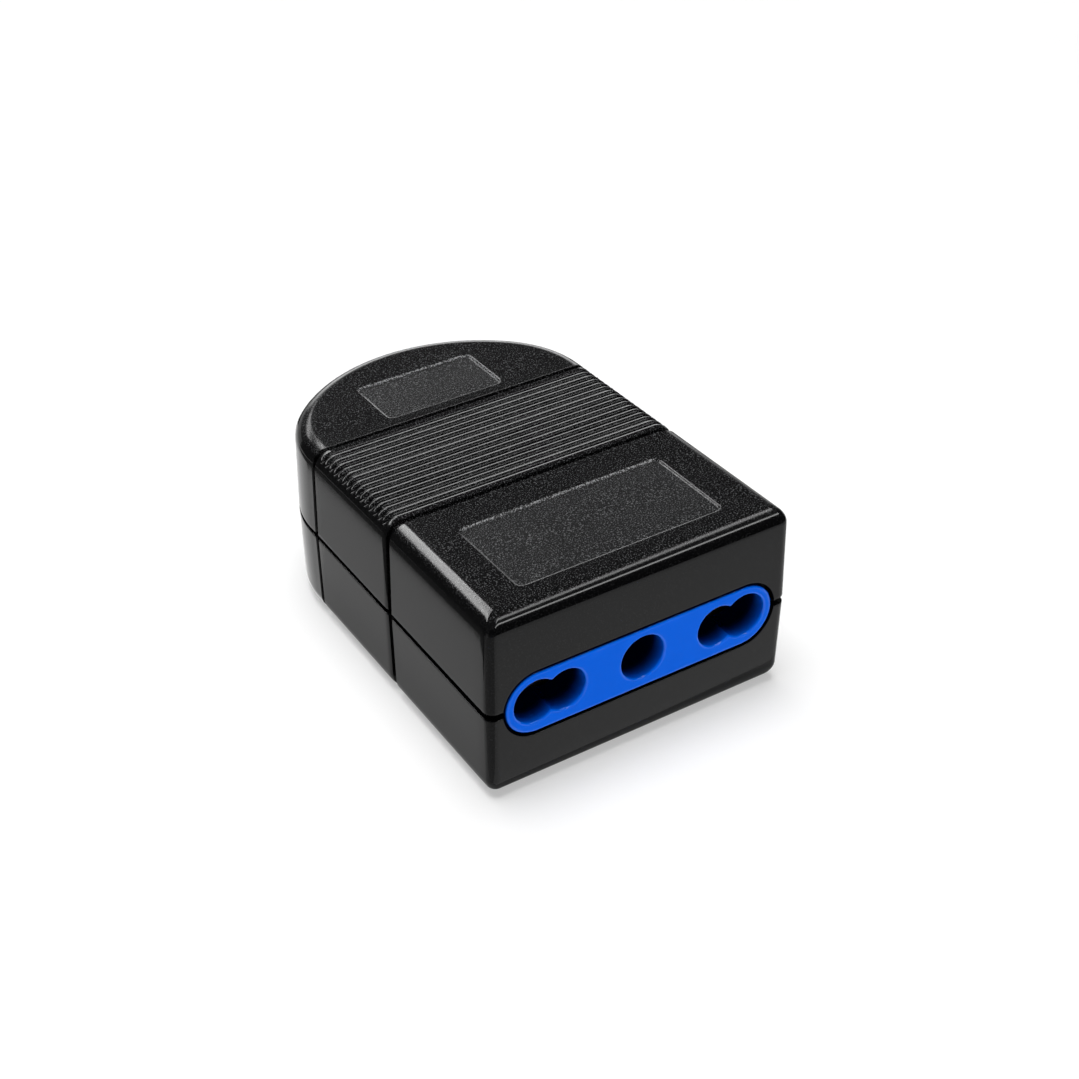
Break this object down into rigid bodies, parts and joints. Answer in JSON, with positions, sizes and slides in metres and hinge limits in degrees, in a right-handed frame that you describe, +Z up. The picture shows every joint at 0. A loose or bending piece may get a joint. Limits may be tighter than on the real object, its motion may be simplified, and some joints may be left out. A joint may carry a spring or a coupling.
{
  "type": "in-line power socket",
  "caption": "Black in-line power socket with a blue stadium-shaped face of keyhole pin holes, a ribbed grip band and a rounded back with a cable inlet.",
  "frame": {"origin": "middle of the base's bounding rectangle, on the surface it lies on", "axes": "+Z up, +Y from the socket face to the rounded back, X across the face"},
  "size_m": [0.0372, 0.0535, 0.0227],
  "materials": {
    "casing_plastic": "fine spark-eroded grain, satin",
    "carrier_plastic": "glossy moulded",
    "contact_brass": "rolled strip",
    "terminal_brass": "sawn and drilled",
    "zinc_steel": "zinc plated",
    "clamp_plastic": "moulded"
  },
  "bodies": {
    "root": {"upper_shell": "casing_plastic", "lower_shell": "casing_plastic", "socket_carrier": "carrier_plastic", "live_contact": "contact_brass", "earth_contact": "contact_brass", "neutral_contact": "contact_brass", "live_terminal": "terminal_brass", "earth_terminal": "terminal_brass", "neutral_terminal": "terminal_brass", "terminal_screws": "zinc_steel", "cable_clamp": "clamp_plastic", "clamp_screws": "zinc_steel", "casing_screws": "zinc_steel"}
  },
  "joints": []
}
